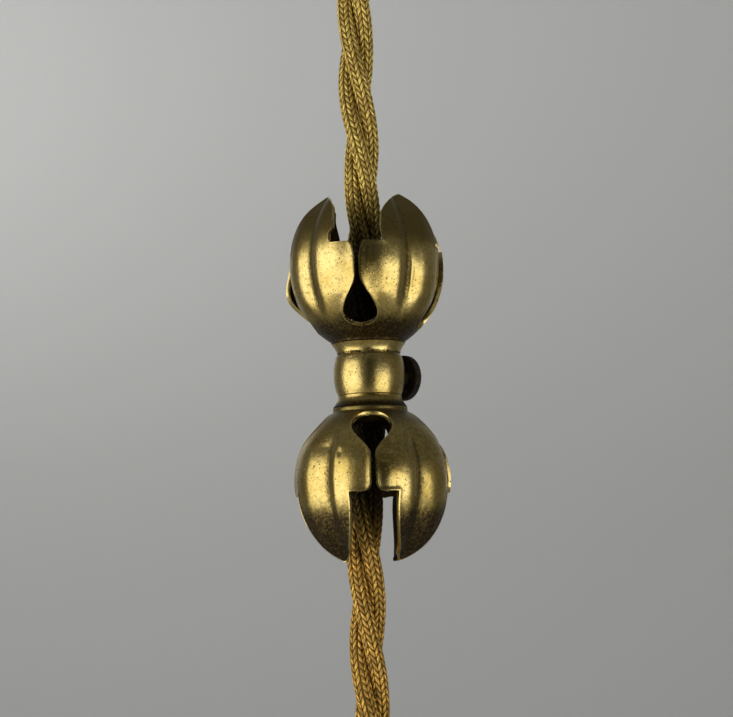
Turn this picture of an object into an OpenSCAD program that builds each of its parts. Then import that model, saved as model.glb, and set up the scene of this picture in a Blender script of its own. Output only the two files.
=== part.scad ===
// Pendant-cord adjuster: two four-petal brass calyxes on a turned clamp barrel, threaded on
// a three-core twisted cord that hangs taut between a ceiling grip and a lamp grip.
// Frame: +Z up, origin on the axis of the ceiling grip's thread, at its shoulder. Millimetres.

/* [Cord] */
// Diameter of one silk-covered core
core_d = 3.05; // [2.9:0.05:3.1]
// Height of one full turn of the twist
twist_pitch = 50.5; // [45:0.5:60]
// Diameter of one bare conductor
conductor_d = 1.1; // [0.9:0.1:1.3]

/* [Adjuster] */
// Drop from the ceiling grip's shoulder to the middle of the clamp barrel
adjuster_drop = 88; // [86:1:90]
// How far the clamp screw draws the adjuster off the line of the cord
adjuster_offset = 0.5; // [0.4:0.05:0.55]
// Height of the neck between the two calyxes
neck_h = 11.5; // [11:0.1:12]
// Radius of the clamp barrel at its widest
barrel_r = 6.4; // [6.3:0.05:6.8]

/* [Calyxes] */
// Largest radius of a calyx
calyx_r = 13.7; // [13.5:0.1:14]
// Thickness of the sheet brass
sheet_t = 0.7; // [0.6:0.05:0.75]
// Directions of the four slots of the upper calyx, in degrees from +X
upper_slots = [-139, -48, 53, 132];
// Directions of the four slots of the lower calyx, in degrees from +X
lower_slots = [-131, -40, 49, 140];

/* [Clamp screw] */
// Diameter of the milled head
head_d = 8.3; // [7.5:0.1:8.6]
// Thickness of the milled head
head_t = 1.5; // [1.3:0.1:2]
// Diameter of the screw's thread
screw_d = 3; // [2.8:0.1:3.2]

/* [Cord grips] */
// Diameter of a cord grip's body
grip_d = 13; // [12.5:0.1:14]
// Length of a cord grip's body
grip_h = 12; // [11.5:0.5:12]
// Length of a cord grip's threaded spigot
spigot_h = 8; // [6:0.5:8]
// Distance from the middle of the adjuster down to the lamp grip's mouth
lamp_grip_drop = 64; // [64:0.5:66]

/* [Hidden] */
$fn = 64;

// Colours
brass = [0.72, 0.56, 0.24];
dark_brass = [0.16, 0.12, 0.07];
gold_silk = [0.80, 0.60, 0.18];
copper = [0.75, 0.42, 0.25];

// Threads and clearances
tube_r = 5;           // outside of the M10 x 1 thread
cord_bore_r = 4;      // clear bore for the cord
fit = 0.02;           // radial gap between two pieces screwed together
pad_fit = 0.08;       // radial gap around the sliding pad

// Adjuster, heights from the middle of the barrel
neck_half = neck_h / 2;
upper_groove = 3.9;
lower_groove = -3.6;
groove_r = 5.9;
collar_r = 6.6;
tube_half = 8.8;
nut_r = 6.2;
nut_h = 2.2;

// Clamp screw and pad, distances from the adjuster's axis along +X
pad_face = 3.2;
pad_back = 4.6;
head_face = 7.7;
stub_r = 0.6;
stub_l = 0.7;

// Cord: three cores around a centre line that bows a little off the axis
helix_r = core_d / sqrt(3) * 1.01;
core_sides = 8;
rings_per_turn = 16;
seam_z = -adjuster_drop - 36;   // height at which two cores meet in direction seam_a
seam_a = -132;
cord_inset = 1;                 // the cores stop this far inside the spigots
cord_top = spigot_h - cord_inset;
cord_bottom = -adjuster_drop - lamp_grip_drop - grip_h - spigot_h + cord_inset;
// Centre line from bottom to top, as [height, x, y]
route = [
    [-172, 0, 0], [-162, -0.05, 0.05], [-156, -0.3, 0.25], [-150, -0.6, 0.55], [-144, -0.75, 0.7],
    [-136, -0.85, 0.78], [-128, -0.85, 0.78], [-122, -0.87, 0.78], [-116, -0.92, 0.84], [-110, -0.8, 0.74],
    [-105, -0.4, 0.53], [-100.5, 0, 0.32], [-92, 0, 0.2], [-84, 0, 0.05], [-79, 0, 0],
    [-58, 0, 0], [-52, 0.1, -0.1], [-46, 0, 0], [-40, -0.2, 0.2],
    [-34, -0.4, 0.35], [-26, -0.4, 0.35], [-18, -0.2, 0.2], [-10, 0, 0], [8, 0, 0]
];
route_x = [for (p = route) [p[0], p[1]]];
route_y = [for (p = route) [p[0], p[2]]];

// A calyx's outside, as [height of its widest ring, half height below it, half height above it]
upper_form = [14.0, 15.6, 16.2];
lower_form = [13.1, 14.0, 16.2];
upper_tip = 26.0;
lower_tip = 27.4;
foot_r = 6.7;
tip_cut = 0.66;         // the gap's half width at the tips, as a share of the radius there

function calyx_radius(z, form) =
    let (u = (z - form[0]) / (z < form[0] ? form[1] : form[2])) calyx_r * sqrt(max(0, 1 - u * u));

// Half outline of a slot, as [half width, height]: a teardrop that draws in to a slit, the
// petal's rounded shoulder, a ledge, and the wide gap between two petal tips.
upper_slot = slot_outline([2.2, 4.2, 10.8], 3.0, 0.42, [12.6, 16.5], 1.5, 4.6, [18.5, 4.1],
                          upper_tip, calyx_radius(upper_tip, upper_form));
lower_slot = slot_outline([1.25, 4.0, 9.1], 3.45, 0.42, [13.6, 15.5], 1.6, 4.2, [20, 3.5],
                          lower_tip, calyx_radius(lower_tip, lower_form));

// Quarter of an ellipse that leaves p upright and arrives level at q
function quarter(p, q) = [for (a = [0:15:90]) [p[0] + (q[0] - p[0]) * (1 - cos(a)), p[1] + (q[1] - p[1]) * sin(a)]];
// Quarter of an ellipse that leaves p level and arrives upright at q
function bowl(p, q) = [for (a = [0:15:75]) [p[0] + (q[0] - p[0]) * sin(a), q[1] - (q[1] - p[1]) * cos(a)]];
// S-curve from p up to q, upright at both ends
function ease(p, q) = [for (k = [0:0.125:1]) [p[0] + (q[0] - p[0]) * k * k * (3 - 2 * k), p[1] + (q[1] - p[1]) * k]];
function slot_outline(drop, drop_w, slit_w, shoulder, shoulder_w, ledge_w, tip_side, tip, tip_r) = concat(
    bowl([0, drop[0]], [drop_w, drop[1]]), ease([drop_w, drop[1]], [slit_w, drop[2]]),
    quarter([slit_w, shoulder[0]], [shoulder_w, shoulder[1]]), [[ledge_w, shoulder[1]]],
    quarter([tip_side[1], tip_side[0]], [tip_r * tip_cut, tip]));

// Centre of core k at height z
function core_angle(z, k) = seam_a + 60 + 120 * k - 360 * (z - seam_z) / twist_pitch;
function core_centre(z, k) = [lookup(z, route_x) + helix_r * cos(core_angle(z, k)),
                              lookup(z, route_y) + helix_r * sin(core_angle(z, k)), z];

// Core k as one tube with level rings
module core(k) {
    n = ceil((cord_top - cord_bottom) / (twist_pitch / rings_per_turn));
    heights = [for (i = [0:n]) cord_bottom + (cord_top - cord_bottom) * i / n];
    s = core_sides;
    points = [for (z = heights) for (j = [0:s - 1])
        core_centre(z, k) + core_d / 2 * [cos(360 * (j + 0.5) / s), sin(360 * (j + 0.5) / s), 0]];
    walls = [for (i = [0:n - 1]) for (j = [0:s - 1])
        [i * s + j, (i + 1) * s + j, (i + 1) * s + (j + 1) % s, i * s + (j + 1) % s]];
    ends = [[for (j = [0:s - 1]) j], [for (j = [s - 1:-1:0]) n * s + j]];
    color(gold_silk) polyhedron(points, concat(walls, ends), convexity = 10);
}

// The three bare conductors beyond the cores' ends, between two heights
module wire_ends(low, high, core_z) {
    color(copper) for (k = [0:2]) {
        c = core_centre(core_z, k);
        translate([c[0], c[1], low]) cylinder(d = conductor_d, h = high - low, $fn = 24);
    }
}

// A turned grip with its mouth at z = 0 and its threaded spigot up
module cord_grip() {
    rim_w = 0.7;
    waist_r = grip_d / 2 - rim_w;
    color(brass) difference() {
        rotate_extrude() polygon([
            [cord_bore_r, 1], [cord_bore_r + 0.8, 0], [waist_r, 0], [grip_d / 2, rim_w],
            [grip_d / 2, 2.2], [waist_r, 2.9], [waist_r, grip_h - 3.1], [grip_d / 2, grip_h - 2.4],
            [grip_d / 2, grip_h - rim_w], [waist_r, grip_h], [tube_r, grip_h],
            [tube_r, grip_h + spigot_h - 0.5], [tube_r - 0.5, grip_h + spigot_h], [cord_bore_r, grip_h + spigot_h]
        ]);
        at_grip_screw() cylinder(d = screw_d, h = grip_d, $fn = 32);
    }
}

module at_grip_screw() {
    translate([0, 0, grip_h / 2]) rotate([0, 90, 0]) children();
}

// The slotted screw that holds the cord in a grip
module grip_screw() {
    tip = helix_r + core_d / 2 + 0.15;
    seat = grip_d / 2 - 0.4;
    cheese_h = 1.3;
    cheese_d = 5;
    slot_w = 0.7;
    color(brass) at_grip_screw() difference() {
        union() {
            translate([0, 0, tip]) cylinder(d = screw_d - 2 * fit, h = seat - tip, $fn = 32);
            translate([0, 0, seat]) cylinder(d = cheese_d, h = cheese_h, $fn = 48);
        }
        translate([-slot_w / 2, -cheese_d, seat + 0.6]) cube([slot_w, 2 * cheese_d, cheese_h]);
    }
}

// One calyx, foot at z = 0 and mouth up: a dished sheet cup with four slots cut in
module calyx(form, tip, slot, directions) {
    steps = 24;
    outer = [for (i = [0:steps]) let (z = tip * i / steps) [max(foot_r, calyx_radius(z, form)), z]];
    inner = [for (i = [steps:-1:0]) let (z = sheet_t + (tip - sheet_t) * i / steps)
        [max(foot_r, calyx_radius(z, form)) - sheet_t, z]];
    above = tip + 1;
    cut = concat(slot, [[calyx_r, above], [-calyx_r, above]],
                 [for (i = [len(slot) - 1:-1:1]) [-slot[i][0], slot[i][1]]]);
    color(brass) difference() {
        rotate_extrude() polygon(concat([[tube_r + fit, 0]], outer, inner, [[tube_r + fit, sheet_t]]));
        for (a = directions) rotate([90, 0, a + 90]) linear_extrude(calyx_r + 2) polygon(cut);
    }
}

// A round nut with a spanner slot across its top, foot at z = 0
module ring_nut() {
    slot_w = 1.6;
    slot_d = 0.8;
    foot = 0.5;
    color(brass) difference() {
        rotate_extrude() polygon([
            [tube_r + fit, 0], [nut_r - foot, 0], [nut_r, foot], [nut_r, nut_h - 0.3],
            [nut_r - 0.3, nut_h], [tube_r + fit, nut_h]
        ]);
        translate([-nut_r - 1, -slot_w / 2, nut_h - slot_d]) cube([2 * nut_r + 2, slot_w, 2]);
    }
}

// A flared seat ring between the barrel and a calyx
module collar(low, high, low_r, high_r) {
    color(brass) rotate_extrude()
        polygon([[tube_r + fit, low], [low_r, low], [high_r, high], [tube_r + fit, high]]);
}

// The bulged barrel, with the screw's tapped hole along +X
module clamp_barrel() {
    steps = 16;
    lip = 0.35;
    middle = (upper_groove + lower_groove) / 2;
    half = (upper_groove - lower_groove) / 2;
    bulge = [for (i = [0:steps]) let (u = 2 * i / steps - 1)
        [groove_r + (barrel_r - groove_r) * (1 - u * u), middle + u * (half - lip)]];
    color(brass) difference() {
        rotate_extrude() polygon(concat([[tube_r + fit, middle - half], [groove_r - 0.2, middle - half]],
            bulge, [[groove_r - 0.2, middle + half], [tube_r + fit, middle + half]]));
        tapped_hole();
    }
}

module tapped_hole() {
    rotate([0, 90, 0]) cylinder(d = screw_d, h = barrel_r + 2, $fn = 48);
}

// The tube that the barrel, the collars, the calyxes and the nuts are screwed on
module threaded_tube() {
    color(brass) difference() {
        translate([0, 0, -tube_half]) cylinder(r = tube_r, h = 2 * tube_half);
        translate([0, 0, -tube_half - 1]) cylinder(r = cord_bore_r, h = 2 * tube_half + 2);
        tapped_hole();
    }
}

// The plug that the screw pushes against the cord; it doesn't turn with the screw
module pressure_pad() {
    color(brass) rotate([0, 90, 0]) difference() {
        translate([0, 0, pad_face]) cylinder(r = screw_d / 2 - pad_fit, h = pad_back - pad_face, $fn = 48);
        translate([0, 0, pad_back - stub_l - 0.1]) cylinder(r = stub_r + 0.05, h = 2, $fn = 32);
    }
}

module thumb_screw() {
    edge = 0.25;
    gap = 0.03;
    shank_r = screw_d / 2 - gap;
    shoulder_r = 2;
    shoulder_x = 7.0;
    color(dark_brass) rotate([0, 90, 0]) rotate_extrude() polygon([
        [0, pad_back - stub_l], [stub_r, pad_back - stub_l], [stub_r, pad_back + gap],
        [shank_r, pad_back + gap], [shank_r, shoulder_x], [shoulder_r, shoulder_x],
        [shoulder_r, head_face], [head_d / 2 - edge, head_face], [head_d / 2, head_face + edge],
        [head_d / 2, head_face + head_t - edge], [head_d / 2 - edge, head_face + head_t],
        [0, head_face + head_t]
    ]);
}

// Places: the adjuster's own frame, the calyx seats above and below its neck, and the two grips
module on_adjuster() { translate([adjuster_offset, 0, -adjuster_drop]) children(); }
module above_neck() { on_adjuster() translate([0, 0, neck_half]) children(); }
module below_neck() { on_adjuster() translate([0, 0, -neck_half]) mirror([0, 0, 1]) children(); }
module at_ceiling() { translate([0, 0, -grip_h]) children(); }
module at_lamp() { translate([0, 0, -adjuster_drop - lamp_grip_drop]) mirror([0, 0, 1]) children(); }

at_ceiling() cord_grip();  // ceiling_cord_grip
at_ceiling() grip_screw();  // ceiling_grip_screw
wire_ends(cord_top, cord_top + 4, cord_top);  // ceiling_wire_ends
core(0);  // core_1
core(1);  // core_2
core(2);  // core_3
above_neck() calyx(upper_form, upper_tip, upper_slot, upper_slots);  // upper_calyx
above_neck() translate([0, 0, sheet_t]) ring_nut();  // upper_ring_nut
on_adjuster() collar(upper_groove, neck_half, groove_r, collar_r);  // upper_collar
on_adjuster() clamp_barrel();
on_adjuster() threaded_tube();
on_adjuster() collar(-neck_half, lower_groove, collar_r, groove_r);  // lower_collar
below_neck() translate([0, 0, sheet_t]) ring_nut();  // lower_ring_nut
below_neck() calyx(lower_form, lower_tip, lower_slot, lower_slots);  // lower_calyx
on_adjuster() pressure_pad();
on_adjuster() thumb_screw();
at_lamp() cord_grip();  // lamp_cord_grip
at_lamp() grip_screw();  // lamp_grip_screw
wire_ends(cord_bottom - 4, cord_bottom, cord_bottom);  // lamp_wire_ends
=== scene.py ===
# Looks for the pendant-cord adjuster: two four-petal brass calyxes on a turned neck with a
# milled thumbscrew, threaded on a gold silk flex of three twisted cores.
from math import asin, cos, degrees, exp, pi, radians, sin, sqrt

import bmesh
import bpy
import numpy as np
from mathutils import Matrix, Vector
from mathutils.kdtree import KDTree


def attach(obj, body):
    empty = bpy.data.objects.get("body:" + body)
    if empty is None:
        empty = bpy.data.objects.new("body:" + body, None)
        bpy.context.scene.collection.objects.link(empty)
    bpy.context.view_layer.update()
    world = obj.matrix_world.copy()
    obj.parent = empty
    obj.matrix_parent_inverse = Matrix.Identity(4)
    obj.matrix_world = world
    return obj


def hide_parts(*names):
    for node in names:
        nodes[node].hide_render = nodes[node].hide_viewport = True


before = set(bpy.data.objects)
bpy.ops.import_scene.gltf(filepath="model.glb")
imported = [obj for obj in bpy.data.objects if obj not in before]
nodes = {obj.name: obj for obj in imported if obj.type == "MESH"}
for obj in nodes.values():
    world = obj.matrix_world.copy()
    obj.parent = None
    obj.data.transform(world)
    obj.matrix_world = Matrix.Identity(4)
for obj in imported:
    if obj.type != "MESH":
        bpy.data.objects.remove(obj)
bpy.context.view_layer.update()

mm = 0.001
scene = bpy.context.scene
adjusterCentre = Vector((0.5, 0, -88)) * mm
middleHeight = adjusterCentre.z / mm
neckHalf = 5.75         # from the adjuster's middle to a calyx's foot, mm
upperGroove = 3.9       # heights of the neck's two turned grooves, mm
lowerGroove = -3.6


# A socket that does sums, and the one way to add any node to a tree
class Wire:
    def __init__(self, tree, socket=None):
        self.tree = tree
        self.socket = socket

    def add(self, kind, settings=None, values=None, out=0):
        node = self.tree.nodes.new(kind)
        for name, value in (settings or {}).items():
            setattr(node, name, value)
        for name, value in (values or {}).items():
            if isinstance(value, Wire):
                self.tree.links.new(value.socket, node.inputs[name])
            else:
                node.inputs[name].default_value = value
        return Wire(self.tree, node.outputs[out])

    def out(self, name):
        return Wire(self.tree, self.socket.node.outputs[name])

    def maths(self, operation, *values):
        return self.add("ShaderNodeMath", {"operation": operation}, dict(enumerate(values)))

    def __add__(self, other):
        return self.maths("ADD", self, other)

    def __radd__(self, other):
        return self.maths("ADD", other, self)

    def __sub__(self, other):
        return self.maths("SUBTRACT", self, other)

    def __rsub__(self, other):
        return self.maths("SUBTRACT", other, self)

    def __mul__(self, other):
        return self.maths("MULTIPLY", self, other)

    def __rmul__(self, other):
        return self.maths("MULTIPLY", other, self)

    def __truediv__(self, other):
        return self.maths("DIVIDE", self, other)

    def __pow__(self, other):
        return self.maths("POWER", self, other)

    def __mod__(self, other):
        return self.maths("FLOORED_MODULO", self, other)

    def __gt__(self, other):
        return self.maths("GREATER_THAN", self, other)

    # 0 below low, 1 above high, smooth between
    def rise(self, low, high):
        values = {"Value": self, "From Min": low, "From Max": high}
        return self.add("ShaderNodeMapRange", {"interpolation_type": "SMOOTHSTEP"}, values)


# Camera: level with the neck, a little below it, and rolled slightly
cameraView = {
    "distance": 0.3157,
    "lens": 86.14,
    "azimuth": -42,      # degrees, turned about the cord
    "rise": 6.94,        # degrees, looking up
    "roll": -1.6,
    "aimRight": -0.41,   # mm from the middle of the adjuster
    "aimUp": 3.15,
}


def makeCamera(look):
    turn, tilt, roll = (radians(look[k]) for k in ("azimuth", "rise", "roll"))
    level = Vector((cos(turn), sin(turn), 0))
    away = Vector((-sin(turn) * cos(tilt), cos(turn) * cos(tilt), sin(tilt)))
    top = level.cross(away)
    right = cos(roll) * level + sin(roll) * top
    up = -sin(roll) * level + cos(roll) * top
    aim = adjusterCentre + look["aimRight"] * mm * level + look["aimUp"] * mm * Vector((0, 0, 1))
    camera = bpy.data.objects.new("camera", bpy.data.cameras.new("camera"))
    camera.data.lens = look["lens"]
    camera.data.sensor_width = 36
    camera.data.clip_start = 0.01
    camera.matrix_world = Matrix.Translation(aim - away * look["distance"]) @ Matrix(
        (right, up, -away)).transposed().to_4x4()
    scene.collection.objects.link(camera)
    scene.camera = camera
    return level, away


rightWay, awayWay = makeCamera(cameraView)
print("camera placed")


# Small helpers for meshes and trees
def newObject(name, mesh):
    obj = bpy.data.objects.new(name, mesh)
    scene.collection.objects.link(obj)
    return obj


def pathObject(name, points):
    mesh = bpy.data.meshes.new(name)
    mesh.from_pydata(points, [(i, i + 1) for i in range(len(points) - 1)], [])
    return newObject(name, mesh)


def newTree(name, sizes):
    tree = bpy.data.node_groups.new(name, "GeometryNodeTree")
    tree.interface.new_socket("Geometry", in_out="INPUT", socket_type="NodeSocketGeometry")
    for label, kind in sizes.items():
        tree.interface.new_socket(label, in_out="INPUT", socket_type="NodeSocket" + kind)
    tree.interface.new_socket("Geometry", in_out="OUTPUT", socket_type="NodeSocketGeometry")
    return tree, Wire(tree).add("NodeGroupInput")


def closeTree(tree, shape, given):
    whole = shape.add("GeometryNodeRealizeInstances", {}, {"Geometry": shape})
    values = {"Geometry": whole, "Material": given.out("Material")}
    painted = shape.add("GeometryNodeSetMaterial", {}, values)
    end = tree.nodes.new("NodeGroupOutput")
    tree.links.new(painted.socket, end.inputs[0])


def feed(obj, tree, values):
    modifier = obj.modifiers.new(tree.name, "NODES")
    modifier.node_group = tree
    for item in tree.interface.items_tree:
        if item.item_type == "SOCKET" and item.in_out == "INPUT" and item.name in values:
            modifier[item.identifier] = values[item.name]


# The evaluated shape becomes the object's own plain mesh
def settle(obj, place=None, crease=40):
    view = bpy.context.evaluated_depsgraph_get()
    final = obj.evaluated_get(view)
    mesh = bpy.data.meshes.new_from_object(final, preserve_all_data_layers=True, depsgraph=view)
    obj.modifiers.clear()
    obj.data = mesh
    if place is not None:
        mesh.transform(place)
    shape = bmesh.new()
    shape.from_mesh(mesh)
    if shape.calc_volume(signed=True) < 0:
        bmesh.ops.reverse_faces(shape, faces=shape.faces)
    shape.to_mesh(mesh)
    shape.free()
    mesh.shade_smooth()
    mesh.set_sharp_from_angle(angle=radians(crease))
    return obj


# Stitches of a braided cover: pale floats in columns that lean one way and then the other. Gives the
# height, the place across a strand from -1 to 1, the strand's number and the column's number.
def braidRelief(around, along, carriers, stitch):
    lap = around * (carriers / 2)
    step = along / stitch
    column = lap.maths("FLOOR", lap)
    leaning = (column % 2) * 2 - 1
    strand = lap * leaning + step
    across = (strand % 1) * 2 - 1
    reach = (lap % 1) * 2 - 1
    crown = (1 - across * across) ** 0.5
    return crown * (1 - reach * reach * reach * reach * 0.75), across, strand.maths("FLOOR", strand), column


def makeBraidTree():
    sizes = {"Radius": "Float", "Rings": "Int", "Around": "Int", "Carriers": "Float",
             "Stitch": "Float", "Relief": "Float", "Material": "Material"}
    tree, given = newTree("braidedCover", sizes)
    line = given.add("GeometryNodeMeshToCurve", {}, {"Mesh": given.out("Geometry")})
    line = given.add("GeometryNodeResampleCurve", {}, {"Curve": line, "Count": given.out("Rings")})
    along = given.add("GeometryNodeSplineParameter").out("Length")
    store = {"data_type": "FLOAT", "domain": "POINT"}
    values = {"Geometry": line, "Name": "along", "Value": along}
    line = given.add("GeometryNodeStoreNamedAttribute", store, values)
    ring = given.add("GeometryNodeCurvePrimitiveCircle", {"mode": "RADIUS"},
                     {"Resolution": given.out("Around"), "Radius": given.out("Radius")})
    part = given.add("GeometryNodeInputIndex") / given.out("Around")
    values = {"Geometry": ring, "Name": "around", "Value": part}
    ring = given.add("GeometryNodeStoreNamedAttribute", store, values)
    values = {"Curve": line, "Profile Curve": ring, "Fill Caps": True}
    tube = given.add("GeometryNodeCurveToMesh", {}, values)
    around = given.add("GeometryNodeInputNamedAttribute", {"data_type": "FLOAT"}, {"Name": "around"})
    along = given.add("GeometryNodeInputNamedAttribute", {"data_type": "FLOAT"}, {"Name": "along"})
    height = braidRelief(around, along * 1000, given.out("Carriers"), given.out("Stitch"))[0]
    # the map runs round each face without a jump at the seam
    turn = around * (2 * pi)
    facing = {"data_type": "FLOAT", "domain": "FACE"}
    side = given.add("GeometryNodeFieldOnDomain", facing, {0: turn.maths("SINE", turn)})
    front = given.add("GeometryNodeFieldOnDomain", facing, {0: turn.maths("COSINE", turn)})
    middle = side.maths("ARCTAN2", side, front) / (2 * pi)
    near = around + middle.maths("ROUND", middle - around)
    place = given.add("ShaderNodeCombineXYZ", {}, {"X": near, "Y": along * 10})
    tube = given.add("GeometryNodeStoreNamedAttribute", {"data_type": "FLOAT2", "domain": "CORNER"},
                     {"Geometry": tube, "Name": "braidMap", "Value": place})
    normal = given.add("GeometryNodeInputNormal")
    lift = (height - 0.6) * given.out("Relief")
    shift = given.add("ShaderNodeVectorMath", {"operation": "SCALE"}, {"Vector": normal, "Scale": lift})
    tube = given.add("GeometryNodeSetPosition", {}, {"Geometry": tube, "Offset": shift})
    closeTree(tree, tube, given)
    return tree


# A turned piece: the profile's points (radius, 0, height) swept round the axis, with teeth
def makeLatheTree():
    sizes = {"Around": "Int", "Teeth": "Int", "Tooth Depth": "Float", "Tooth From": "Float",
             "Material": "Material"}
    tree, given = newTree("turnedPiece", sizes)
    profile = given.out("Geometry")
    rows = given.add("GeometryNodeAttributeDomainSize", {"component": "MESH"}, {"Geometry": profile})
    values = {"Vertices X": given.out("Around") + 1, "Vertices Y": rows}
    sheet = given.add("GeometryNodeMeshGrid", {}, values)
    index = given.add("GeometryNodeInputIndex")
    row = index % rows
    turn = index.maths("FLOOR", index / rows) / given.out("Around") * (2 * pi)
    where = given.add("GeometryNodeInputPosition")
    point = given.add("GeometryNodeSampleIndex", {"data_type": "FLOAT_VECTOR"},
                      {"Geometry": profile, "Value": where, "Index": row})
    parts = given.add("ShaderNodeSeparateXYZ", {}, {0: point})
    wide = parts.out("X")
    wave = turn * given.out("Teeth")
    tooth = (1 - wave.maths("ABSOLUTE", wave.maths("COSINE", wave / 2))) * given.out("Tooth Depth")
    wide = wide - tooth * (wide > given.out("Tooth From"))
    values = {"X": wide * turn.maths("COSINE", turn), "Y": wide * turn.maths("SINE", turn)}
    spot = given.add("ShaderNodeCombineXYZ", {}, {**values, "Z": parts.out("Z")})
    swept = given.add("GeometryNodeSetPosition", {}, {"Geometry": sheet, "Position": spot})
    swept = given.add("GeometryNodeMergeByDistance", {}, {"Geometry": swept, "Distance": 0.0005 * mm})
    closeTree(tree, swept, given)
    return tree


braidTree = makeBraidTree()
latheTree = makeLatheTree()


# Materials
def newMaterial(name):
    material = bpy.data.materials.new(name)
    material.use_nodes = True
    material.node_tree.nodes.clear()
    return material, Wire(material.node_tree)


def finishMaterial(material, shader, settings, links):
    surface = shader.add("ShaderNodeBsdfPrincipled", {}, {**settings, **links})
    end = material.node_tree.nodes.new("ShaderNodeOutputMaterial")
    material.node_tree.links.new(surface.socket, end.inputs["Surface"])
    return material


def blendColour(wire, factor, first, second):
    return wire.add("ShaderNodeMix", {"data_type": "RGBA"}, {0: factor, 6: first, 7: second}, out=2)


def bumped(wire, height, distance, strength=1.0, normal=None):
    values = {"Height": height, "Distance": distance * mm, "Strength": strength}
    if normal is not None:
        values["Normal"] = normal
    return wire.add("ShaderNodeBump", {}, values)


def noise(wire, where, scale, detail=3.0, rough=0.5, warp=0.0):
    values = {"Vector": where, "Scale": scale, "Detail": detail, "Roughness": rough, "Distortion": warp}
    return wire.add("ShaderNodeTexNoise", {}, values)


# The distance from each point to the closest of many scattered dots
def dots(wire, where, scale):
    values = {"Vector": where, "Scale": scale, "Randomness": 1.0}
    return wire.add("ShaderNodeTexVoronoi", {"feature": "F1"}, values).out("Distance")


def stretched(wire, where, scale, turn=(0, 0, 0)):
    return wire.add("ShaderNodeMapping", {}, {"Vector": where, "Scale": scale, "Rotation": turn})


# Colours are linear
brassLook = {
    "bright": (0.56, 0.43, 0.155, 1),
    "warm": (0.42, 0.30, 0.08, 1),
    "olive": (0.165, 0.12, 0.034, 1),
    "tarnishAndShadeColour": (0.028, 0.016, 0.005, 1),
    "roughness": 0.19,
}


# Old brass without lacquer: blotched colour, dark tarnish where hands don't reach, rubbed rims. The
# darkening also carries painted shade: inside the cups, above the lower right petal and, with some dirt, in
# the petals' grooves.
def makeBrass(name, look, tarnishAndShade, rimWidth=0.0, ring=0.0, dull=0.0):
    material, shader = newMaterial(name)
    where = shader.add("ShaderNodeTexCoord").out("Object")
    cloud = noise(shader, where, 140, 4, 0.6)
    fleck = noise(shader, where, 1900, 5, 0.72)
    grain = noise(shader, stretched(shader, where, (1, 1, 0.12)), 5200, 3, 0.6)
    rub = noise(shader, stretched(shader, where, (1, 1, 0.25), (0.5, 0.3, 0)), 900, 3, 0.6, 0.4)
    colour = blendColour(shader, cloud.rise(0.35, 0.68), look["bright"], look["warm"])
    colour = blendColour(shader, fleck.rise(0.46, 0.70) * 0.6, colour, look["olive"])
    parts = shader.add("ShaderNodeSeparateXYZ", {}, {0: where})
    dark = tarnishAndShade(parts, cloud, fleck)
    if rimWidth:
        # painted shade, with some dirt, in the petals' grooves
        trace = shader.add("ShaderNodeAttribute", {"attribute_name": "grooveShadeAndDirt"}, {}).out("Fac")
        dark = dark.maths("MAXIMUM", dark, trace * (0.25 + fleck.rise(0.3, 0.6) * 0.5))
        away = shader.add("ShaderNodeAttribute", {"attribute_name": "rimDistance"}, {}).out("Fac")
        rim = 1 - away.rise(0.05, rimWidth)
        dark = dark * (1 - rim * rub.rise(0.25, 0.5) * 0.9)
        colour = blendColour(shader, rim * 0.7, colour, look["bright"])
    pit = (1 - dots(shader, where, 620).rise(0.06, 0.16)) * cloud.rise(0.42, 0.6)
    speck = (1 - dots(shader, where, 1900).rise(0.14, 0.32)) * rub.rise(0.44, 0.58)
    pit = pit.maths("MAXIMUM", pit, speck * 0.8)
    # tarnish, and painted shade where the darkening stands for it
    colour = blendColour(shader, dark.rise(0.0, 0.6), colour, look["olive"])
    colour = blendColour(shader, dark.rise(0.45, 1.0), colour, look["tarnishAndShadeColour"])
    colour = blendColour(shader, pit * 0.75, colour, look["tarnishAndShadeColour"])
    rough = look["roughness"] + dull + grain * 0.08 + dark * 0.22 + pit * 0.2
    bump = grain * 0.3 + fleck * (0.9 + dark * 1.5) + rub * 0.9 - pit * 1.2
    normal = bumped(shader, bump, 0.014)
    if ring:
        lathe = noise(shader, stretched(shader, where, (0.02, 0.02, 1)), ring, 2, 0.5)
        normal = bumped(shader, lathe, 0.02, 0.8, normal)
    wobble = noise(shader, where, 260, 2, 0.45)
    normal = bumped(shader, wobble, 0.2, 0.6, normal)
    values = {"Base Color": colour, "Roughness": rough, "Metallic": 1 - dark * 0.12, "Normal": normal}
    return finishMaterial(material, shader, {}, values)


# Where the tarnish lies, 0 to 1. On the upper calyx it rises from the foot and gathers at the tips.
def upperTarnish(parts, cloud, fleck):
    up = (parts.out("Z") * 1000 - middleHeight - neckHalf) + (cloud - 0.5) * 5
    foot = (1 - up.rise(1.5, 6.2)) * (0.6 + fleck.rise(0.35, 0.6) * 0.4)
    tip = up.rise(13.5, 18.5) * 0.45
    return foot + tip + 0.06


# The lower calyx is browner at its foot and tips; above its right-hand petal, on the side to the camera's
# right, it is darkened with painted shade
def lowerTarnishAndShade(parts, cloud, fleck):
    down = (-1 * parts.out("Z") * 1000 + middleHeight - neckHalf) + (cloud - 0.5) * 4
    right = (parts.out("X") * rightWay.x + parts.out("Y") * rightWay.y) * 1000 + (cloud - 0.5) * 3
    foot = (1 - down.rise(1.5, 6.5)) * (0.36 + fleck.rise(0.35, 0.6) * 0.14)
    # painted shade above the right-hand petal, on the side to the camera's right
    brown = right.rise(-0.5, 2.0) * (1 - down.rise(8.5, 13)) * (0.17 + fleck.rise(0.4, 0.6) * 0.12)
    tip = down.rise(15.5, 20.5) * (0.55 + fleck.rise(0.35, 0.6) * 0.4)
    return foot.maths("MAXIMUM", foot, brown) + tip + 0.08
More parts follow.
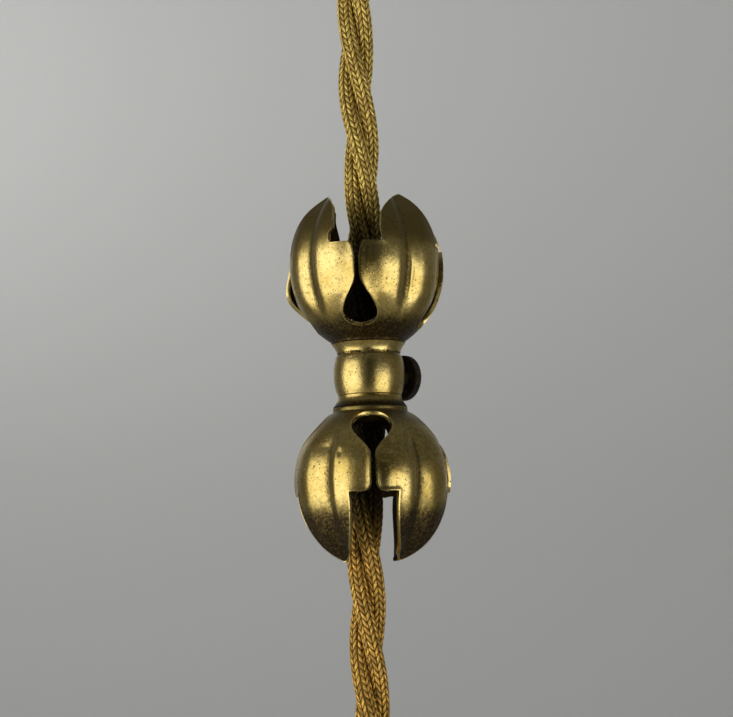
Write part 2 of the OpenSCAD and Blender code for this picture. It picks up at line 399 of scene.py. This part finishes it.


# Dirt sits in the upper groove and in patches under it; the lower flare is darker towards its foot
def neckTarnish(parts, cloud, fleck):
    up = parts.out("Z") * 1000 - middleHeight
    away = up - upperGroove
    groove = (1 - away.maths("ABSOLUTE", away).rise(0.05, 0.3)) * fleck.rise(0.42, 0.55)
    flare = (1 - up.rise(0.15 - neckHalf, 1.45 - neckHalf)) * (0.7 + fleck.rise(0.35, 0.6) * 0.4)
    brow = away.rise(-1.7, -0.5) * (1 - away.rise(-0.2, 0.0)) * cloud.rise(0.3, 0.6) * 0.3
    return groove + flare + brow + 0.1


def gripTarnish(parts, cloud, fleck):
    return cloud.rise(0.45, 0.75) * 0.4


# painted shade: the inside faces of the cups and the pieces inside them are made nearly black, standing for
# the shade inside the cups
def insideShade(parts, cloud, fleck):
    return 0.85 + cloud * 0.25


upperBrass = makeBrass("agedBrassUpper", brassLook, upperTarnish, rimWidth=0.24)
lowerBrass = makeBrass("agedBrassLower", brassLook, lowerTarnishAndShade, rimWidth=0.42)
neckBrass = makeBrass("turnedBrass", brassLook, neckTarnish, ring=9000)
gripBrass = makeBrass("gripBrass", brassLook, gripTarnish, ring=7000, dull=0.05)
insideBrassShaded = makeBrass("insideBrassPaintedShade", brassLook, insideShade, dull=0.2)

silkLook = {
    # light and lowLight are a painted highlight on the crowns, deep and lowDeep painted shade between the
    # floats
    "light": (1.0, 0.73, 0.17, 1),
    "deep": (0.13, 0.055, 0.005, 1),
    "lowLight": (0.97, 0.56, 0.10, 1),
    "lowDeep": (0.08, 0.032, 0.004, 1),
    "shade": (0.012, 0.006, 0.002, 1),
    "agedBelow": -112,       # heights where the colour changes, mm
    "freshAbove": -60,
    "darkWithin": 19,        # painted shade, with some dirt, inside the cups, mm from the adjuster's middle
    "clearBeyond": 33,
    "carriers": 20,
    "stitch": 1.24,          # mm
}


# Gold silk: lustrous floats with a painted highlight on their crowns and painted shade in the brown between
# them, redder and older at the lower end
def makeSilk(look):
    material, shader = newMaterial("goldSilk")
    where = shader.add("ShaderNodeTexCoord").out("Object")
    chart = shader.add("ShaderNodeUVMap", {"uv_map": "braidMap"})
    parts = shader.add("ShaderNodeSeparateXYZ", {}, {0: chart})
    around = parts.out("X")
    along = parts.out("Y") * 100
    crown, across, turnCount, column = braidRelief(around, along, look["carriers"], look["stitch"])
    stitch = shader.add("ShaderNodeCombineXYZ", {}, {"X": turnCount, "Y": column})
    tone = shader.add("ShaderNodeTexWhiteNoise", {"noise_dimensions": "3D"}, {"Vector": stitch})
    fibres = shader.add("ShaderNodeCombineXYZ", {}, {"X": across * 5, "Y": along * 0.4, "Z": around * 9})
    thread = noise(shader, fibres, 1.6, 2, 0.6)
    patch = noise(shader, where, 260, 3, 0.6)
    height = shader.add("ShaderNodeSeparateXYZ", {}, {0: where}).out("Z") * 1000
    age = 1 - height.rise(look["agedBelow"], look["freshAbove"])
    light = blendColour(shader, age, look["light"], look["lowLight"])
    deep = blendColour(shader, age, look["deep"], look["lowDeep"])
    # painted shade in the gaps between floats and a painted highlight on their crowns
    colour = blendColour(shader, crown.rise(0.35, 0.8), deep, light)
    colour = blendColour(shader, thread.rise(0.35, 0.7) * 0.45, colour, deep)
    colour = blendColour(shader, tone * tone * 0.6, colour, deep)
    colour = blendColour(shader, patch.rise(0.45, 0.75) * 0.3, colour, deep)
    level = height - middleHeight
    # painted shade, with some dirt, on the stretch of cord inside the cups
    inside = 1 - level.maths("ABSOLUTE", level).rise(look["darkWithin"], look["clearBeyond"])
    colour = blendColour(shader, inside * 0.97, colour, look["shade"])
    rough = 0.2 + tone * 0.25 + thread * 0.14 - crown * 0.08
    normal = bumped(shader, crown + thread * 0.3, 0.25)
    fixed = {"Metallic": 0.5, "Specular IOR Level": 0.9, "Specular Tint": (1.0, 0.86, 0.5, 1)}
    values = {"Base Color": colour, "Roughness": rough, "Normal": normal}
    return finishMaterial(material, shader, fixed, values)


silk = makeSilk(silkLook)

screwLook = {"base": (0.018, 0.012, 0.008, 1), "rubbed": (0.10, 0.07, 0.025, 1)}


def makeDarkScrew(look):
    material, shader = newMaterial("darkScrew")
    where = shader.add("ShaderNodeTexCoord").out("Object")
    cloud = noise(shader, where, 700, 4, 0.6)
    fleck = noise(shader, where, 3500, 4, 0.7)
    colour = blendColour(shader, cloud.rise(0.5, 0.75) * 0.7, look["base"], look["rubbed"])
    normal = bumped(shader, fleck, 0.03)
    values = {"Base Color": colour, "Roughness": 0.38 + fleck * 0.25, "Metallic": 0.55 + cloud * 0.3,
              "Normal": normal}
    return finishMaterial(material, shader, {}, values)


darkScrew = makeDarkScrew(screwLook)

copperLook = {"bright": (0.80, 0.36, 0.20, 1), "brown": (0.30, 0.12, 0.06, 1)}


# Bare strands, seen as fine slanted lines along each conductor
def makeCopper(look):
    material, shader = newMaterial("bareCopper")
    where = shader.add("ShaderNodeTexCoord").out("Object")
    cloud = noise(shader, where, 900, 3, 0.6)
    strand = shader.add("ShaderNodeTexWave", {"bands_direction": "DIAGONAL"},
                        {"Vector": where, "Scale": 1500, "Distortion": 1.0})
    colour = blendColour(shader, cloud.rise(0.4, 0.7), look["bright"], look["brown"])
    normal = bumped(shader, strand, 0.05)
    values = {"Base Color": colour, "Roughness": 0.3 + cloud * 0.2, "Normal": normal}
    return finishMaterial(material, shader, {"Metallic": 1.0}, values)


copper = makeCopper(copperLook)
print("materials ready")


# The flex: three braided cores around a centre line that bows a little off the axis
flex = {
    "coreDiameter": 3.05,
    "twistPitch": 50.5,
    "seamHeight": -124,
    "seamAngle": -132,
    "top": 7,
    "bottom": -171,
    "exitHeight": -12,      # the mouth of the ceiling grip
    "pathPoints": 360,
    "rings": 1500,
    "around": 40,
    "relief": 0.2,          # height of the stitches
    "coverInset": 0.03,     # so that the crowns of the stitches come to the full diameter
    # centre line from bottom to top: height, x, y in mm
    "route": [
        (-172, 0, 0), (-162, -0.05, 0.05), (-156, -0.3, 0.25), (-150, -0.6, 0.55),
        (-144, -0.75, 0.7), (-136, -0.85, 0.78), (-128, -0.85, 0.78), (-122, -0.87, 0.78),
        (-116, -0.92, 0.84), (-110, -0.8, 0.74), (-105, -0.4, 0.53), (-100.5, 0, 0.32),
        (-92, 0, 0.2), (-84, 0, 0.05), (-79, 0, 0), (-58, 0, 0), (-52, 0.1, -0.1), (-46, 0, 0),
        (-40, -0.2, 0.2), (-34, -0.4, 0.35), (-26, -0.4, 0.35), (-18, -0.2, 0.2), (-10, 0, 0),
        (8, 0, 0)],
}


def corePath(k):
    heights, xs, ys = zip(*flex["route"])
    reach = flex["coreDiameter"] / sqrt(3) * 1.01
    points = []
    for z in np.linspace(flex["top"], flex["bottom"], flex["pathPoints"]):
        wound = 360 * (z - flex["seamHeight"]) / flex["twistPitch"]
        turn = radians(flex["seamAngle"] + 60 + 120 * k - wound)
        x = np.interp(z, heights, xs) + reach * cos(turn)
        y = np.interp(z, heights, ys) + reach * sin(turn)
        points.append(Vector((x, y, z)) * mm)
    return points


def makeCore(k):
    points = corePath(k)
    core = pathObject(f"silk_core_{k + 1}", points)
    radius = flex["coreDiameter"] / 2 - flex["coverInset"]
    feed(core, braidTree, {"Radius": radius * mm, "Rings": flex["rings"], "Around": flex["around"],
                           "Carriers": float(silkLook["carriers"]), "Stitch": silkLook["stitch"],
                           "Relief": flex["relief"] * mm, "Material": silk})
    settle(core, crease=180)
    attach(core, "cord")
    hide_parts(f"core_{k + 1}")
    return core


for k in range(3):
    makeCore(k)
print("flex braided")

# The calyxes. Heights run from the foot (0) to the petal tips, angles are in degrees about +X
upperCalyx = {
    "name": "brass_upper_calyx",
    "node": "upper_calyx",
    "side": 1,
    "form": (14.0, 15.6, 16.2),      # height of the widest ring, half heights below and above it
    "tip": 26.0,
    "slots": (-139, -48, 50.5, 132),
    "drop": (2.2, 4.2, 10.8, 3.0),   # teardrop: bottom, widest, top, half width
    "slit": 0.42,
    "shoulder": (12.6, 16.5, 1.5),   # from, ledge height, half gap there
    "ledge": 4.6,
    "tipSide": 4.1,
    # each petal, from the slot it starts at: degrees to its apex and to its groove, and the side of
    # its wide lobe; then, per edge, where the curve to the tip starts, its power and how far the
    # gap is undercut
    "petals": (
        {"apex": 51, "groove": 41.5, "outer": 1, "curve": (21.0, 16.5), "power": (2.0, 1.75),
         "undercut": (0, 0)},
        {"apex": 50, "groove": 50, "outer": 1, "curve": (18, 18), "power": (2.0, 2.0),
         "undercut": (0, 0)},
        {"apex": 42, "groove": 42, "outer": 1, "curve": (18, 18), "power": (2.0, 2.0),
         "undercut": (0, 0)},
        {"apex": 46, "groove": 46.5, "outer": -1, "curve": (16.5, 22.6), "power": (1.6, 2.1),
         "undercut": (0, 0.25)},
    ),
    # outward bends of the sheet: angle, height, reach in degrees, reach in mm, lift in mm
    "lifts": ((-34, 11, 14, 6, 0.35), (-52, 11, 13, 7, -0.65), (128, 8.5, 12, 4.5, 1.7),
              (-138.5, 9.5, 10, 7, 0.75), (-139.5, 9, 7.5, 7, 0.55), (-93, 11, 1.6, 3.2, -0.18)),
    "lip": 0.1,                      # how far the cut edges turn out
}
lowerCalyx = {
    "name": "brass_lower_calyx",
    "node": "lower_calyx",
    "side": -1,
    "form": (13.1, 14.0, 16.2),
    "tip": 27.4,
    "slots": (-131, -40, 49, 140),
    "drop": (1.25, 4.0, 9.1, 3.45),
    "slit": 0.42,
    "shoulder": (13.6, 15.5, 1.6),
    "ledge": 4.2,
    "tipSide": 4.0,
    "petals": (
        {"apex": 47, "groove": 38.5, "outer": 1, "curve": (21.5, 15.5), "power": (2.0, 1.6),
         "undercut": (0, 0)},
        {"apex": 46, "groove": 46, "outer": 1, "curve": (18, 18), "power": (2.0, 2.0),
         "undercut": (0, 0)},
        {"apex": 45, "groove": 45, "outer": 1, "curve": (18, 18), "power": (2.0, 2.0),
         "undercut": (0, 0)},
        {"apex": 35, "groove": 51.5, "outer": -1, "curve": (15.5, 20.5), "power": (1.45, 2.2),
         "undercut": (0, 0)},
    ),
    "lifts": ((-34, 13, 10, 5, 0.25), (-46, 12, 13, 7, -0.6), (-124, 13, 8, 4, 0.22),
              (-131.5, 11, 9, 6, 0.4),
              (-118, 8.2, 7, 0.5, -0.24), (-121, 10.0, 4, 0.4, -0.18), (-157, 8.6, 1.5, 0.6, -0.15)),
    "lip": 0.2,
}
sheetBrass = {
    "radius": 13.7,
    "thickness": 0.75,
    "footRadius": 6.7,
    "foot": ((5.05, 0.0), (5.9, 0.0), (6.42, 0.0), (6.6, 0.08), (6.68, 0.2)),    # radius, height
    "rimRound": 0.12,
    "grooveDepth": 0.8,
    "grooveWidth": 1.25,     # on the side of the narrow lobe
    "grooveReach": 2.9,      # on the side of the wide lobe
    "lobe": 0.3,
    "reliefFrom": 2.5,       # height where grooves and lobes begin
    "reliefOver": 5,         # and the height over which they grow
    "sideTaper": 2.5,        # height above the ledge over which a gap narrows
    "undercutTo": 1.9,       # height above the ledge where an undercut starts to close
    "undercutFade": 0.9,
    "lipReach": 0.5,
    "flatFoot": 0.5,         # below this height the edges have no lip
    "edgeColumns": 12,
    "middleColumns": 44,
}


def calyxRadius(z, form):
    half = form[1] if z < form[0] else form[2]
    return sheetBrass["radius"] * sqrt(max(0.02, 1 - ((z - form[0]) / half) ** 2))


# Half width of the slot below the ledge
def slotBelow(cup, z):
    bottom, wide, top, half = cup["drop"]
    low, ledge, gap = cup["shoulder"]
    slit = cup["slit"]
    if z <= bottom:
        return 0.0
    if z < wide:
        return half * sqrt(1 - ((wide - z) / (wide - bottom)) ** 2)
    if z < top:
        k = (z - wide) / (top - wide)
        return half + (slit - half) * k * k * (3 - 2 * k)
    if z < low:
        return slit
    k = min(1, (z - low) / (ledge - low))
    return gap - (gap - slit) * sqrt(1 - k * k)


# Half width of the gap between two tips at one edge of a petal: straight, then a curve to the apex
def slotAbove(cup, z, apexWidth, petal, edge):
    start, power, undercut = (petal[name][edge] for name in ("curve", "power", "undercut"))
    ledge = cup["shoulder"][1]
    taper = min(1, (z - ledge) / sheetBrass["sideTaper"])
    side = cup["ledge"] + (cup["tipSide"] - cup["ledge"]) * taper
    if undercut:
        step = min(1, max(0, (z - ledge - sheetBrass["undercutTo"]) / sheetBrass["undercutFade"]))
        side = (cup["ledge"] + undercut) * (1 - step) + cup["tipSide"] * step
    if z <= start:
        return side
    k = min(1, (z - start) / (cup["tip"] - start))
    return side + (apexWidth - side) * k ** power


# Rows of heights, closer together where an outline turns
def cupHeights(cup):
    bottom, wide = cup["drop"][:2]
    low, ledge = cup["shoulder"][:2]
    below = list(np.linspace(0.4, bottom, 6))[:-1]
    below += [wide - (wide - bottom) * cos(radians(a)) for a in range(0, 90, 10)]
    below += list(np.linspace(wide, low, 36))[:-1]
    below += [low + (ledge - low) * sin(radians(a)) for a in range(0, 91, 9)]
    above = [ledge + (cup["tip"] - ledge) * sin(radians(a)) for a in np.linspace(0, 90, 40)]
    return below, above


def smoothBump(d):
    return np.exp(-d * d)


# How far the sheet stands off the plain form at an angle and a height, and the painted shade, with some
# dirt, along the petal's groove there
def petalRelief(cup, petal, start, span, angles, z, radius):
    groove = start + petal["groove"]
    fade = min(1, max(0, (z - sheetBrass["reliefFrom"]) / sheetBrass["reliefOver"])) ** 1.5
    off = np.radians(angles - groove) * radius
    dip = smoothBump(off / sheetBrass["grooveWidth"])
    outer = petal["outer"] * off > 0
    dip = np.where(outer, smoothBump(off / sheetBrass["grooveReach"]), dip)
    relief = -sheetBrass["grooveDepth"] * dip * fade
    left = np.clip((angles - start) / petal["groove"], 0, 1)
    right = np.clip((angles - groove) / (span - petal["groove"]), 0, 1)
    share = np.where(angles < groove, left, right)
    relief = relief + sheetBrass["lobe"] * np.sin(pi * share) ** 2 * fade
    for angle, height, reachAngle, reach, lift in cup["lifts"]:
        near = (angles - angle + 180) % 360 - 180
        if start <= angle <= start + span or start <= angle + 360 <= start + span:
            loose = min(1, max(0, (z - cup["drop"][0]) / 3)) ** 2
            share = smoothBump(near / reachAngle) * smoothBump((z - height) / reach)
            relief = relief + lift * loose * share
    # the second value is painted shade with some dirt, darkest along the groove's bottom
    return relief, smoothBump(off / 0.6) * fade


def makeCup(cup):
    form = cup["form"]
    below, above = cupHeights(cup)
    ledge = cup["shoulder"][1]
    slots = cup["slots"]
    points, faces, grooveShadeAndDirt, outline = [], [], [], []
    footEdge, slotEdge = 24, 27      # degrees from a slot to where the finer columns end

    def addRow(petal, start, span, z, edges, radius=None):
        r = max(calyxRadius(z, form), sheetBrass["footRadius"]) if radius is None else radius
        stops = []
        columns = [sheetBrass["edgeColumns"], sheetBrass["middleColumns"], sheetBrass["edgeColumns"]]
        if len(edges) == 2:
            columns = [sheetBrass["middleColumns"]]
        for low, high, count in zip(edges, edges[1:], columns):
            stops += list(np.linspace(low, high, count + 1))[:-1]
        stops.append(edges[-1])
        angles = np.array(stops)
        relief, rowShadeAndDirt = petalRelief(cup, petal, start, span, angles, z, r)
        if radius is not None:
            relief = relief * 0
        first = len(points)
        for angle, lift, pointShadeAndDirt in zip(np.radians(angles), relief, rowShadeAndDirt):
            points.append(((r + lift) * cos(angle), (r + lift) * sin(angle), z * cup["side"]))
            grooveShadeAndDirt.append(float(pointShadeAndDirt))
        return list(range(first, len(points)))

    def join(lower, upper):
        for i in range(len(lower) - 1):
            face = (lower[i], lower[i + 1], upper[i + 1], upper[i])
            faces.append(face if cup["side"] > 0 else face[::-1])

    for k, petal in enumerate(cup["petals"]):
        start = slots[k]
        end = slots[(k + 1) % 4] + (360 if k == 3 else 0)
        span = end - start
        tipRadius = calyxRadius(cup["tip"], form)
        turns = (petal["apex"] - 1, span - petal["apex"] - 1)
        apexes = [tipRadius * sin(radians(turn)) for turn in turns]
        rows = []
        for radius, z in sheetBrass["foot"]:
            edges = [start, start + footEdge, end - footEdge, end]
            rows.append(addRow(petal, start, span, z, edges, radius))
        ledgeAngle = degrees(asin(cup["ledge"] / calyxRadius(ledge, form)))
        for z in below:
            r = max(calyxRadius(z, form), sheetBrass["footRadius"])
            gap = degrees(asin(slotBelow(cup, z) / r))
            share = z / ledge
            line = slotEdge + (ledgeAngle - slotEdge) * share
            rows.append(addRow(petal, start, span, z, [start + gap, start + line, end - line, end - gap]))
            outline += [rows[-1][0], rows[-1][-1]] if z > cup["drop"][0] - 0.01 else []
        for lower, upper in zip(rows, rows[1:]):
            join(lower, upper)
        edge = sheetBrass["edgeColumns"]
        outline += rows[-1][:edge + 1] + rows[-1][-edge - 1:]
        last = rows[-1][edge:len(rows[-1]) - edge]
        for z in above[1:]:
            r = calyxRadius(z, form)
            left, right = (degrees(asin(slotAbove(cup, z, apexes[i], petal, i) / r)) for i in (0, 1))
            row = addRow(petal, start, span, z, [start + left, end - right])
            join(last, row)
            outline += [row[0], row[-1]]
            last = row
        outline += last

    tree = KDTree(len(outline))
    for i, index in enumerate(outline):
        tree.insert(points[index], i)
    tree.balance()
    away = [tree.find(point)[2] for point in points]
    # the cut edges were dressed outwards, which left a thin raised lip
    for i, (x, y, z) in enumerate(points):
        if abs(z) > sheetBrass["flatFoot"]:
            near = exp(-(away[i] / sheetBrass["lipReach"]) ** 2)
            out = 1 + cup["lip"] * near / max(6, sqrt(x * x + y * y))
            points[i] = (x * out, y * out, z)
    place = Matrix.Translation(adjusterCentre + Vector((0, 0, cup["side"] * neckHalf * mm)))
    mesh = bpy.data.meshes.new(cup["name"])
    mesh.from_pydata(points, [], faces)
    for label, values in (("rimDistance", away), ("grooveShadeAndDirt", grooveShadeAndDirt)):
        mesh.attributes.new(label, "FLOAT", "POINT").data.foreach_set("value", values)
    mesh.transform(place @ Matrix.Scale(mm, 4))
    obj = newObject(cup["name"], mesh)
    shape = bmesh.new()
    shape.from_mesh(mesh)
    bmesh.ops.remove_doubles(shape, verts=shape.verts, dist=0.002 * mm)
    shape.to_mesh(mesh)
    shape.free()
    wall = obj.modifiers.new("wall", "SOLIDIFY")
    wall.thickness = sheetBrass["thickness"] * mm
    wall.offset = -1
    wall.material_offset = 1
    wall.material_offset_rim = 0
    rim = obj.modifiers.new("rim", "BEVEL")
    rim.width = sheetBrass["rimRound"] * mm
    rim.segments = 2
    rim.limit_method = "ANGLE"
    rim.angle_limit = radians(50)
    obj.data.materials.append(upperBrass if cup["side"] > 0 else lowerBrass)
    # the inner faces get the painted shade of the inside
    obj.data.materials.append(insideBrassShaded)
    settle(obj, crease=60)
    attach(obj, "adjuster")
    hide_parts(cup["node"])
    return obj


for cup in (upperCalyx, lowerCalyx):
    made = makeCup(cup)
    print(made.name, len(made.data.polygons), "faces")


# Turned pieces
def arc(centre, radius, fromAngle, toAngle, steps=6):
    turns = np.linspace(radians(fromAngle), radians(toAngle), steps + 1)
    return [(centre[0] + radius * cos(t), centre[1] + radius * sin(t)) for t in turns]


def turned(name, profile, place, material, around=192, teeth=0, depth=0.0, start=0.0, crease=35):
    obj = pathObject(name, [Vector((r, 0, z)) * mm for r, z in profile])
    feed(obj, latheTree, {"Around": around, "Teeth": teeth, "Tooth Depth": depth * mm,
                          "Tooth From": start * mm, "Material": material})
    return settle(obj, place, crease)


neck = {
    "bore": 5.03,
    "groove": 5.72,
    "bulge": 6.42,
    "collar": 6.6,
    "upperFlare": (0.88, 1.65, 1.7),     # spread, height, power of the curve
    "lowerFlare": (0.92, 1.98, 1.9),
    "holeRadius": 1.5,
}


def makeNeck():
    at = Matrix.Translation(adjusterCentre)
    n = neck
    top, bottom = upperGroove, lowerGroove
    middle, half = (top + bottom) / 2, (top - bottom) / 2 - 0.3
    barrel = [(n["bore"], bottom + 0.01), (n["groove"] - 0.04, bottom + 0.01),
              (n["groove"] + 0.02, bottom + 0.08), (n["groove"] + 0.05, bottom + 0.2)]
    waist = n["groove"] + 0.12
    for t in np.linspace(-0.94, 0.94, 40):
        barrel.append((waist + (n["bulge"] - waist) * (1 - abs(t) ** 2.2), middle + t * half))
    barrel += [(n["groove"] - 0.1, top - 0.12), (n["groove"] - 0.1, top - 0.01), (n["bore"], top - 0.01),
               (n["bore"], bottom + 0.01)]
    body = turned("brass_barrel", barrel, at, neckBrass)
    drill = bmesh.new()
    across = Matrix.Translation(adjusterCentre + Vector((6, 0, 0)) * mm) @ Matrix.Rotation(pi / 2, 4, "Y")
    bmesh.ops.create_cone(drill, cap_ends=True, segments=48, radius1=n["holeRadius"] * mm,
                          radius2=n["holeRadius"] * mm, depth=4 * mm, matrix=across)
    cutter = newObject("drill", bpy.data.meshes.new("drill"))
    drill.to_mesh(cutter.data)
    drill.free()
    hole = body.modifiers.new("hole", "BOOLEAN")
    hole.object = cutter
    hole.solver = "EXACT"
    settle(body, crease=35)
    bpy.data.objects.remove(cutter)
    upper = [(n["bore"], top + 0.01), (n["groove"] - 0.1, top + 0.01), (n["groove"], top + 0.1)]
    spread, height, power = n["upperFlare"]
    for k in np.linspace(0.05, 1, 16):
        upper.append((n["groove"] + spread * k ** power, top + 0.1 + height * k))
    upper += [(n["collar"] - 0.02, neckHalf - 0.05), (n["collar"] - 0.08, neckHalf),
              (n["bore"], neckHalf), (n["bore"], top + 0.01)]
    lower = [(n["bore"], bottom - 0.01), (n["groove"] - 0.1, bottom - 0.01), (n["groove"], bottom - 0.1)]
    spread, height, power = n["lowerFlare"]
    for k in np.linspace(0.04, 1, 18):
        lower.append((n["groove"] + spread * k ** power, bottom - 0.1 - height * k))
    lower += [(n["collar"], -neckHalf + 0.02), (n["collar"] - 0.06, -neckHalf), (n["bore"], -neckHalf),
              (n["bore"], bottom - 0.01)]
    pieces = [(body, "clamp_barrel"), (turned("brass_upper_collar", upper, at, neckBrass), "upper_collar"),
              (turned("brass_lower_collar", lower, at, neckBrass), "lower_collar")]
    for obj, node in pieces:
        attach(obj, "adjuster")
        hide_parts(node)


makeNeck()

thumbscrew = {
    "headRadius": 4.15,
    "headFace": 7.7,
    "headThickness": 1.5,
    "around": 400,
    "teeth": 50,
    "toothDepth": 0.16,
    "shank": 1.42,
    "shoulder": 2.0,
    "stub": 0.6,
    # distances from the neck's axis
    "tip": 3.9,
    "shankFrom": 4.63,
    "shoulderFrom": 7.0,
    "threads": 4,
    "threadPitch": 0.5,
}


def makeThumbscrew(s):
    face, back = s["headFace"], s["headFace"] + s["headThickness"]
    rim = s["headRadius"]
    tip, start, step, pitch = s["tip"], s["shankFrom"], s["shoulderFrom"], s["threadPitch"]
    profile = [(0, tip), (s["stub"], tip), (s["stub"], start), (s["shank"] - 0.15, start),
               (s["shank"], start + 0.17)]
    for turn in range(s["threads"]):       # the visible threads are a few soft rings
        z = start + 0.27 + turn * pitch
        profile += [(s["shank"], z), (s["shank"] - 0.22, z + pitch / 2)]
    profile += [(s["shank"], step), (s["shoulder"], step), (s["shoulder"], face - 0.1),
                (s["shoulder"] + 0.1, face)]
    profile += [(rim - 0.55, face), (rim - 0.5, face + 0.02)]
    profile += arc((rim - 0.3, face + 0.3), 0.3, -90, 0)
    profile += arc((rim - 0.3, back - 0.3), 0.3, 0, 90)
    # two shallow rings are turned in the outer face
    profile += [(rim - 0.7, back - 0.02), (rim - 0.8, back - 0.12), (rim - 1.0, back - 0.12),
                (rim - 1.1, back - 0.03), (rim - 2.0, back - 0.01), (rim - 2.06, back - 0.08),
                (rim - 2.2, back - 0.08), (rim - 2.26, back - 0.01)]
    profile += [(0.6, back - 0.02), (0.45, back - 0.12), (0, back - 0.2)]
    place = Matrix.Translation(adjusterCentre) @ Matrix.Rotation(pi / 2, 4, "Y")
    obj = turned("milled_thumbscrew", profile, place, darkScrew, s["around"], s["teeth"], s["toothDepth"],
                 rim - 0.35)
    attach(obj, "screw")
    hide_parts("thumb_screw")


makeThumbscrew(thumbscrew)
print("neck and thumbscrew turned")

# Finishes for the pieces that keep their own shape
finishes = {
    "ceiling_cord_grip": gripBrass, "lamp_cord_grip": gripBrass,
    "ceiling_grip_screw": gripBrass, "lamp_grip_screw": gripBrass,
    # the pieces inside the cups get the painted shade of the inside
    "upper_ring_nut": insideBrassShaded, "lower_ring_nut": insideBrassShaded,
    "threaded_tube": insideBrassShaded, "pressure_pad": insideBrassShaded,
    "ceiling_wire_ends": copper, "lamp_wire_ends": copper,
}
for name, material in finishes.items():
    holder = nodes[name]
    holder.data.materials.clear()
    holder.data.materials.append(material)

# Studio: a pale floor that curves up into a plain wall, two softboxes and lights on the wall
studio = {
    "floor": -450,           # height, mm
    "wall": 1150,            # distance all round, mm
    "bend": 400,             # radius where the floor turns up, mm
    "rim": 1100,
    "grey": (0.55, 0.55, 0.535, 1),
    "greyCloud": (0.5, 0.5, 0.49, 1),
    "world": (0.62, 0.63, 0.64, 1),
    "worldStrength": 0.31,
    # softboxes: azimuth from the viewing side, rise, then distance, width, height in metres, watts
    "boxes": ((-62, -12, 0.60, 0.72, 0.95, 5.0), (46, -28, 0.60, 0.50, 0.80, 3.0)),
    # dark card behind the camera, seen only in reflections: azimuth, distance, width, height, metres
    "card": (7, 0.62, 0.36, 0.9),
    # lights on the wall behind: distance, left shift, height, size in metres, watts
    "wallLights": ((0.45, 0.0, 0.5, 0.5, 1.75), (0.72, 0.38, 0.38, 0.3, 0.75)),
}


def makeStage():
    grey, shader = newMaterial("plainGrey")
    where = shader.add("ShaderNodeTexCoord").out("Object")
    cloud = noise(shader, where, 1.4, 1, 0.4)
    colour = blendColour(shader, cloud.rise(0.2, 0.8) * 0.15, studio["grey"], studio["greyCloud"])
    finishMaterial(grey, shader, {"Roughness": 0.9, "Specular IOR Level": 0.1}, {"Base Color": colour})
    floor, wall, bend = studio["floor"], studio["wall"], studio["bend"]
    profile = [(0, floor), (wall - bend - 50, floor)]
    profile += arc((wall - bend, floor + bend), bend, -90, 0, 12) + [(wall, studio["rim"])]
    bowl = turned("backdrop", profile, Matrix(), grey, 96, crease=180)
    shape = bmesh.new()
    shape.from_mesh(bowl.data)
    bmesh.ops.recalc_face_normals(shape, faces=shape.faces)
    shape.to_mesh(bowl.data)
    shape.free()
    world = bpy.data.worlds.new("studio")
    world.use_nodes = True
    back = world.node_tree.nodes["Background"]
    back.inputs["Color"].default_value = studio["world"]
    back.inputs["Strength"].default_value = studio["worldStrength"]
    scene.world = world


def addLamp(name, width, height, power, place, way):
    light = bpy.data.lights.new(name, "AREA")
    light.shape = "RECTANGLE"
    light.size = width
    light.size_y = height
    light.energy = power
    lamp = bpy.data.objects.new(name, light)
    lamp.location = place
    lamp.rotation_euler = way.to_track_quat("Z", "Y").to_euler()
    lamp.visible_camera = False
    scene.collection.objects.link(lamp)
    return lamp


def makeLights():
    toCamera = Vector((-awayWay.x, -awayWay.y, 0)).normalized()
    for index, (azimuth, rise, distance, width, height, power) in enumerate(studio["boxes"]):
        turn = radians(azimuth)
        flat = toCamera * cos(turn) + rightWay * sin(turn)
        way = flat * cos(radians(rise)) + Vector((0, 0, sin(radians(rise))))
        addLamp(f"softbox_{index + 1}", width, height, power, adjusterCentre + way * distance, way)
    azimuth, distance, width, height = studio["card"]
    way = toCamera * cos(radians(azimuth)) + rightWay * sin(radians(azimuth))
    black, shader = newMaterial("blackCard")
    finishMaterial(black, shader, {"Base Color": (0.01, 0.01, 0.01, 1), "Roughness": 1.0}, {})
    side = Vector((-way.y, way.x, 0)) * width / 2
    rise = Vector((0, 0, height / 2))
    mesh = bpy.data.meshes.new("dark_card")
    corners = [side * a + rise * b for a, b in ((-1, -1), (1, -1), (1, 1), (-1, 1))]
    mesh.from_pydata(corners, [], [(0, 1, 2, 3)])
    mesh.materials.append(black)
    mesh.transform(Matrix.Translation(adjusterCentre + way * distance))
    card = newObject("dark_card", mesh)
    card.visible_camera = False
    for index, (distance, shift, height, size, power) in enumerate(studio["wallLights"]):
        place = adjusterCentre - toCamera * distance - rightWay * shift + Vector((0, 0, height))
        lamp = addLamp(f"wall_light_{index + 1}", size, size, power, place, toCamera)
        lamp.visible_glossy = False


makeStage()
makeLights()
scene.view_settings.view_transform = "Standard"
print("studio ready")
